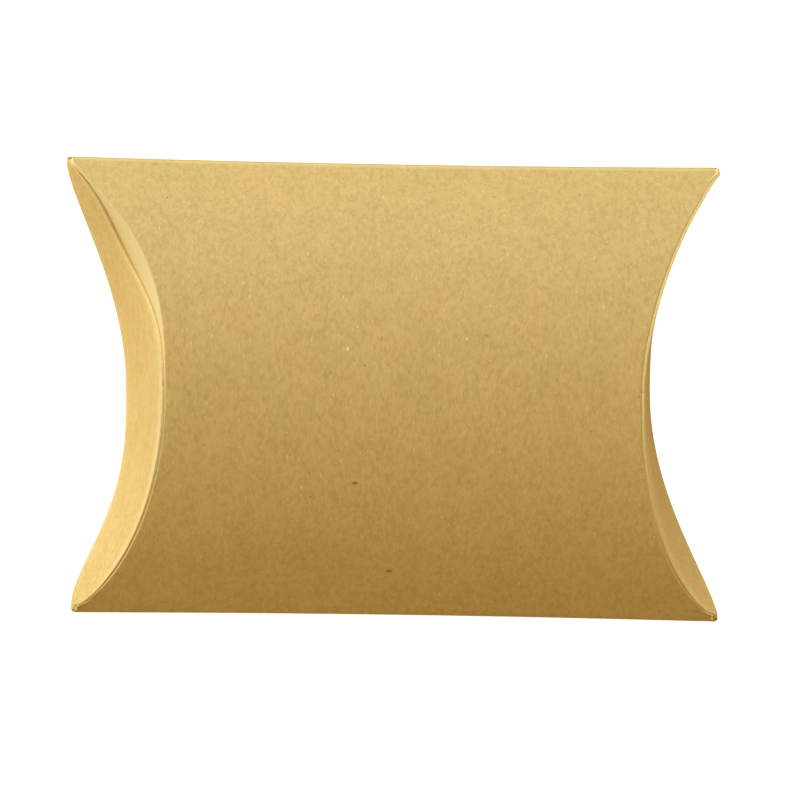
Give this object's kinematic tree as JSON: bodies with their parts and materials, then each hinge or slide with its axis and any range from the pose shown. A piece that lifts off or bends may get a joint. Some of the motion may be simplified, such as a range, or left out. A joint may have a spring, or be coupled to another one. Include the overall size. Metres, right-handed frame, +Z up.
{
  "type": "pillow box",
  "caption": "Plain kraft card pillow box with bowed front and back panels, a glued long edge and curved hinged flaps closing each end.",
  "frame": {"origin": "middle of the underside, on the surface that the box lies on", "axes": "+X along the box, +Y across it towards the glued long edge, +Z up out of the front panel"},
  "size_m": [0.0908, 0.063, 0.0203],
  "materials": {
    "kraft_card": "matt, uncoated",
    "dried_glue": "satin"
  },
  "bodies": {
    "sleeve": {"front_panel": "kraft_card", "back_panel": "kraft_card", "long_fold": "kraft_card", "seam_fold": "kraft_card", "glue_tab": "kraft_card", "glue_line": "dried_glue"},
    "left_outer": {"left_outer_flap": "kraft_card"},
    "left_inner": {"left_inner_flap": "kraft_card"},
    "right_outer": {"right_outer_flap": "kraft_card"},
    "right_inner": {"right_inner_flap": "kraft_card"}
  },
  "joints": [
    {"name": "right_outer_hinge", "type": "hinge", "parent": "sleeve", "child": "right_outer", "pos_m": [0.03707, 0, 0], "axis": [0, 1, 0], "range_deg": [0, 100]},
    {"name": "right_inner_hinge", "type": "hinge", "parent": "sleeve", "child": "right_inner", "pos_m": [0.03355, 0, 0.0203], "axis": [0, -1, 0], "range_deg": [0, 60]},
    {"name": "left_outer_hinge", "type": "hinge", "parent": "sleeve", "child": "left_outer", "pos_m": [-0.03707, 0, 0], "axis": [0, -1, 0], "range_deg": [0, 100]},
    {"name": "left_inner_hinge", "type": "hinge", "parent": "sleeve", "child": "left_inner", "pos_m": [-0.03355, 0, 0.0203], "axis": [0, 1, 0], "range_deg": [0, 60]}
  ],
  "couplings": [
    {"joint": "right_inner_hinge", "follows": "right_outer_hinge", "ratio": 0.6},
    {"joint": "left_inner_hinge", "follows": "left_outer_hinge", "ratio": 0.6}
  ]
}
